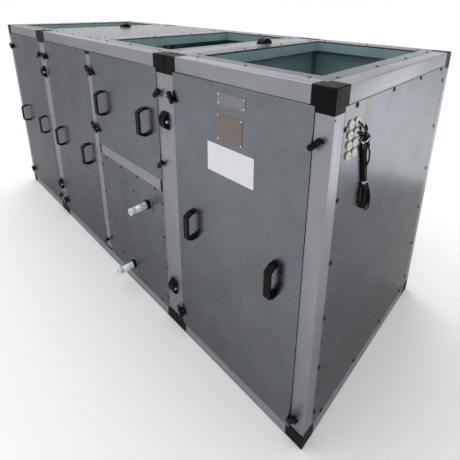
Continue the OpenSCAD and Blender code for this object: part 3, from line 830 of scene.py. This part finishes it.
class AIRUNIT_OT_stage(bpy.types.Operator):
    """Sets the floor, the light and the camera"""

    bl_idname = "air_unit.stage"
    bl_label = "Studio"

    # Softboxes: where each stands, what it faces, its width and height in metres, its power in watts and
    # the angle in degrees that it lights, narrow where its picture belongs on one side only
    SOFTBOXES = {
        "overhead": ((-0.8, -0.2, 4.6), (-0.4, -0.1, 0), (5.4, 5.4), 150, 180),
        "back": ((-5.0, 6.2, 2.6), (0, 0, 1.0), (12.0, 3.4), 90, 180),
        "right": ((2.3, 1.5, 0.85), (1.58, -0.26, 1.47), (1.6, 1.6), 2.0, 58),
    }
    # Where the floor starts to fade into the background and where it has, in metres from the unit
    FADE = (0.5, 3.0)
    # Half the floor's side and the camera's sensor width, in metres and millimetres
    FLOOR_HALF, SENSOR = 60, 36

    def execute(self, context):
        scene = context.scene
        scene.view_settings.view_transform = "Standard"
        self.floor(scene)
        self.world(scene)
        self.lamps(scene)
        self.camera(scene)
        return {"FINISHED"}

    def floor(self, scene):
        """A wide level floor under the unit."""
        bm = bmesh.new()
        bmesh.ops.create_grid(bm, x_segments=1, y_segments=1, size=self.FLOOR_HALF)
        mesh = bpy.data.meshes.new("studio_floor")
        bm.to_mesh(mesh)
        bm.free()
        mesh.materials.append(self.floor_paint(scene.air_unit_colours.floor))
        floor = bpy.data.objects.new("studio_floor", mesh)
        scene.collection.objects.link(floor)

    def seen_rays(self, tree):
        """One for the rays that show the background, straight or in metal and glass."""
        path = add(tree, "LightPath").outputs
        seen = path["Is Camera Ray"]
        for ray in ("Is Glossy Ray", "Is Transmission Ray"):
            seen = add(tree, "Math", {0: seen, 1: path[ray]}, operation="MAXIMUM").outputs[0]
        return seen

    def floor_paint(self, paint):
        """Matt white paint that carries the unit's shadow and fades into the background away from it."""
        finish = Finish("studio_floor")
        finish.shader.inputs["Base Color"].default_value = paint
        finish.shader.inputs["Roughness"].default_value = 0.9
        middle, half = (CASING_LOW + CASING_HIGH) / 2, (CASING_HIGH - CASING_LOW) / 2
        middle = middle * Vector((1, 1, 0))
        away = finish.add("VectorMath", {0: finish.place, 1: middle}, operation="SUBTRACT").outputs[0]
        away = finish.add("VectorMath", {0: away}, operation="ABSOLUTE").outputs[0]
        away = finish.add("VectorMath", {0: away, 1: half}, operation="SUBTRACT").outputs[0]
        away = finish.add("VectorMath", {0: away, 1: (0, 0, 0)}, operation="MAXIMUM").outputs[0]
        away = finish.add("VectorMath", {0: away}, operation="LENGTH").outputs["Value"]
        near, far = self.FADE
        reach = {0: away, 1: near, 2: far}
        fade = finish.add("MapRange", reach, interpolation_type="SMOOTHSTEP").outputs[0]
        rays = self.seen_rays(finish.tree)
        seen = finish.add("Math", {0: fade, 1: rays}, operation="MULTIPLY").outputs[0]
        white = finish.add("Emission", {"Color": (1, 1, 1, 1), "Strength": 1.0}).outputs[0]
        mixed = finish.add("MixShader", {0: seen, 1: finish.shader.outputs[0], 2: white}).outputs[0]
        finish.tree.links.new(mixed, finish.tree.nodes["Material Output"].inputs["Surface"])
        return finish.material

    def world(self, scene):
        """An even white surround, a little dimmer as light than as background."""
        world = bpy.data.worlds.new("studio")
        world.use_nodes = True
        scene.world = world
        tree = world.node_tree
        tree.nodes.clear()
        seen = self.seen_rays(tree)
        ambient = add(tree, "Background", {"Color": (1, 1, 1, 1), "Strength": 0.8})
        white = add(tree, "Background", {"Color": (1, 1, 1, 1), "Strength": 1.0})
        mixed = add(tree, "MixShader", {0: seen, 1: ambient.outputs[0], 2: white.outputs[0]})
        add(tree, "OutputWorld", {0: mixed.outputs[0]})

    def lamps(self, scene):
        """The softboxes, hidden from the camera."""
        for name, (place, target, (width, height), power, angle) in self.SOFTBOXES.items():
            lamp = bpy.data.lights.new(name, "AREA")
            lamp.shape, lamp.size, lamp.size_y, lamp.energy = "RECTANGLE", width, height, power
            lamp.spread = math.radians(angle)
            held = bpy.data.objects.new(name, lamp)
            held.matrix_world = facing(place, Vector(place) - Vector(target))
            held.visible_camera = False
            scene.collection.objects.link(held)

    def camera(self, scene):
        """The camera at the photo's view."""
        settings = scene.air_unit_camera
        data = bpy.data.cameras.new("photo_view")
        data.lens, data.sensor_width = settings.lens, self.SENSOR
        data.shift_x, data.shift_y = settings.shift
        camera = bpy.data.objects.new("photo_view", data)
        turn = Matrix.Rotation(settings.azimuth, 4, "Z")
        tilt = Matrix.Rotation(math.pi / 2 - settings.elevation, 4, "X")
        camera.matrix_world = (
            Matrix.Translation(settings.place) @ turn @ tilt @ Matrix.Rotation(settings.roll, 4, "Z")
        )
        scene.collection.objects.link(camera)
        scene.camera = camera


OPERATORS = [
    AIRUNIT_OT_frame,
    AIRUNIT_OT_panels,
    AIRUNIT_OT_screws,
    AIRUNIT_OT_handles,
    AIRUNIT_OT_pipes,
    AIRUNIT_OT_plates,
    AIRUNIT_OT_cables,
    AIRUNIT_OT_stage,
]


class AIRUNIT_PT_steps(bpy.types.Panel):
    """Lists the steps that dress the unit"""

    bl_idname = "AIRUNIT_PT_steps"
    bl_label = "Air handling unit"
    bl_space_type = "VIEW_3D"
    bl_region_type = "UI"
    bl_category = "Air unit"

    def draw(self, context):
        for step in OPERATORS:
            self.layout.operator(step.bl_idname)


SETTINGS = {
    "air_unit_colours": AirUnitColours,
    "air_unit_sizes": AirUnitSizes,
    "air_unit_camera": AirUnitCamera,
}


def register():
    for kind in [*SETTINGS.values(), *OPERATORS, AIRUNIT_PT_steps]:
        bpy.utils.register_class(kind)
    for name, kind in SETTINGS.items():
        setattr(bpy.types.Scene, name, PointerProperty(type=kind))


def unregister():
    for name in SETTINGS:
        delattr(bpy.types.Scene, name)
    for kind in reversed([*SETTINGS.values(), *OPERATORS, AIRUNIT_PT_steps]):
        bpy.utils.unregister_class(kind)


def main():
    register()
    for step in OPERATORS:
        group, name = step.bl_idname.split(".")
        getattr(getattr(bpy.ops, group), name)()


if __name__ == "__main__":
    main()
